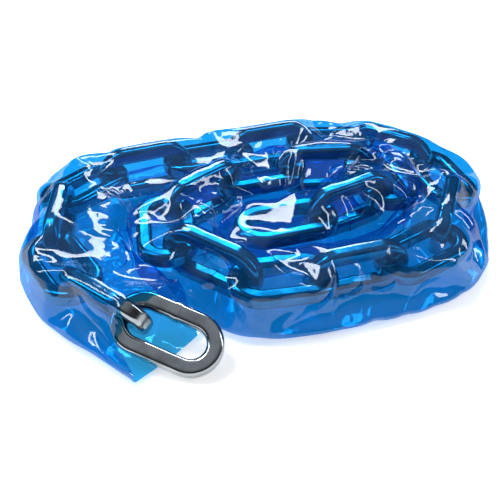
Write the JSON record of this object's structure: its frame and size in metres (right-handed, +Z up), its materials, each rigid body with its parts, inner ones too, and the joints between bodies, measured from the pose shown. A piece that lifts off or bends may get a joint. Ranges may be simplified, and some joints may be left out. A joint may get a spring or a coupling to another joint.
{
  "type": "security chain",
  "caption": "Welded square-section steel chain in a translucent blue vinyl sleeve, coiled flat, with its end link out of the sleeve for a padlock.",
  "frame": {"origin": "on the floor, under the middle of the part's box", "axes": "+X along the rows of the coil, +Y to the back row, +Z up; the tail and the end link lie at the front left"},
  "size_m": [0.251, 0.1686, 0.0448],
  "materials": {
    "link_steel": "bright zinc-plated steel, smooth",
    "sleeve_vinyl": "clear blue film, glossy, soft"
  },
  "bodies": {
    "sleeve": {"sleeve_main": "sleeve_vinyl", "link_05": "link_steel"},
    "link_04": {"link_04": "link_steel"},
    "tail": {"sleeve_tail": "sleeve_vinyl", "link_03": "link_steel"},
    "link_02": {"link_02": "link_steel"},
    "link_01": {"link_01": "link_steel"},
    "link_06": {"link_06": "link_steel"},
    "link_07": {"link_07": "link_steel"},
    "link_08": {"link_08": "link_steel"},
    "link_09": {"link_09": "link_steel"},
    "link_10": {"link_10": "link_steel"},
    "link_11": {"link_11": "link_steel"},
    "link_12": {"link_12": "link_steel"},
    "link_13": {"link_13": "link_steel"},
    "link_14": {"link_14": "link_steel"},
    "link_15": {"link_15": "link_steel"},
    "link_16": {"link_16": "link_steel"},
    "link_17": {"link_17": "link_steel"},
    "link_18": {"link_18": "link_steel"},
    "link_19": {"link_19": "link_steel"},
    "link_20": {"link_20": "link_steel"},
    "link_21": {"link_21": "link_steel"},
    "link_22": {"link_22": "link_steel"},
    "link_23": {"link_23": "link_steel"}
  },
  "joints": [
    {"name": "fold_swing", "type": "hinge", "parent": "sleeve", "child": "link_04", "pos_m": [-0.09338, 0.05243, 0.018], "axis": [0, 0, -1], "range_deg": [0, 22]},
    {"name": "fold_lift", "type": "hinge", "parent": "link_04", "child": "tail", "pos_m": [-0.10372, 0.01652, 0.01826], "axis": [-0.9602, 0.2761, -0.0428], "range_deg": [0, 35]},
    {"name": "mouth_swing", "type": "hinge", "parent": "tail", "child": "link_02", "pos_m": [-0.1007, -0.01941, 0.018], "axis": [-0.0478, -0.0113, 0.9988], "range_deg": [-4, 0.8]},
    {"name": "end_link_lift", "type": "hinge", "parent": "link_02", "child": "link_01", "pos_m": [-0.08103, -0.04835, 0.01861], "axis": [-0.7349, -0.509, -0.4481], "range_deg": [0, 100]},
    {"name": "rock_link_06", "type": "hinge", "parent": "sleeve", "child": "link_06", "pos_m": [-0.04769, 0.06656, 0.018], "axis": [-0.9986, -0.0536, -0.0001], "range_deg": [-2, 2]},
    {"name": "rock_link_07", "type": "hinge", "parent": "sleeve", "child": "link_07", "pos_m": [-0.01032, 0.06793, 0.01804], "axis": [-1, -0.0002, -0.0032], "range_deg": [-2, 2]},
    {"name": "rock_link_08", "type": "hinge", "parent": "sleeve", "child": "link_08", "pos_m": [0.02708, 0.0679, 0.01823], "axis": [-1, 0.0008, -0.009], "range_deg": [-2, 2]},
    {"name": "rock_link_09", "type": "hinge", "parent": "sleeve", "child": "link_09", "pos_m": [0.06409, 0.06487, 0.0179], "axis": [-0.9686, 0.2486, 0.0082], "range_deg": [-1, 1]},
    {"name": "rock_link_10", "type": "hinge", "parent": "sleeve", "child": "link_10", "pos_m": [0.09163, 0.0421, 0.01853], "axis": [-0.6261, 0.7795, -0.0207], "range_deg": [-1, 1]},
    {"name": "rock_link_11", "type": "hinge", "parent": "sleeve", "child": "link_11", "pos_m": [0.1079, 0.01029, 0.01788], "axis": [-0.0359, 0.9993, 0.0103], "range_deg": [-1, 1]},
    {"name": "rock_link_12", "type": "hinge", "parent": "sleeve", "child": "link_12", "pos_m": [0.0941, -0.02273, 0.01857], "axis": [0.5611, 0.8275, -0.0225], "range_deg": [-1, 1]},
    {"name": "rock_link_13", "type": "hinge", "parent": "sleeve", "child": "link_13", "pos_m": [0.06843, -0.04754, 0.01792], "axis": [0.9468, 0.3217, 0.0065], "range_deg": [-1, 1]},
    {"name": "rock_link_14", "type": "hinge", "parent": "sleeve", "child": "link_14", "pos_m": [0.03167, -0.0516, 0.01832], "axis": [0.9999, 0.0073, -0.0126], "range_deg": [-1, 1]},
    {"name": "rock_link_15", "type": "hinge", "parent": "sleeve", "child": "link_15", "pos_m": [-0.00562, -0.05166, 0.02074], "axis": [0.9957, -0.0177, -0.0909], "range_deg": [-1, 1]},
    {"name": "rock_link_16", "type": "hinge", "parent": "sleeve", "child": "link_16", "pos_m": [-0.03518, -0.03338, 0.02477], "axis": [0.6943, -0.7126, -0.1009], "range_deg": [-1, 1]},
    {"name": "rock_link_17", "type": "hinge", "parent": "sleeve", "child": "link_17", "pos_m": [-0.0509, -0.00339, 0.02598], "axis": [-0.1631, -0.9866, -0.0006], "range_deg": [-1, 1]},
    {"name": "rock_link_18", "type": "hinge", "parent": "sleeve", "child": "link_18", "pos_m": [-0.02634, 0.02004, 0.026], "axis": [-0.8899, -0.4562, 0], "range_deg": [-1, 1]},
    {"name": "rock_link_19", "type": "hinge", "parent": "sleeve", "child": "link_19", "pos_m": [0.00826, 0.03162, 0.026], "axis": [-1, 0, 0], "range_deg": [-1, 1]},
    {"name": "rock_link_20", "type": "hinge", "parent": "sleeve", "child": "link_20", "pos_m": [0.04499, 0.02582, 0.026], "axis": [-0.9736, 0.2283, 0], "range_deg": [-1, 1]},
    {"name": "rock_link_21", "type": "hinge", "parent": "sleeve", "child": "link_21", "pos_m": [0.06972, 0.00802, 0.026], "axis": [0, 1, 0], "range_deg": [-1, 1]},
    {"name": "rock_link_22", "type": "hinge", "parent": "sleeve", "child": "link_22", "pos_m": [0.04499, -0.00978, 0.026], "axis": [-0.9736, -0.2283, 0], "range_deg": [-1, 1]},
    {"name": "rock_link_23", "type": "hinge", "parent": "sleeve", "child": "link_23", "pos_m": [0.00826, -0.01558, 0.026], "axis": [-1, 0, 0], "range_deg": [-1, 1]}
  ]
}
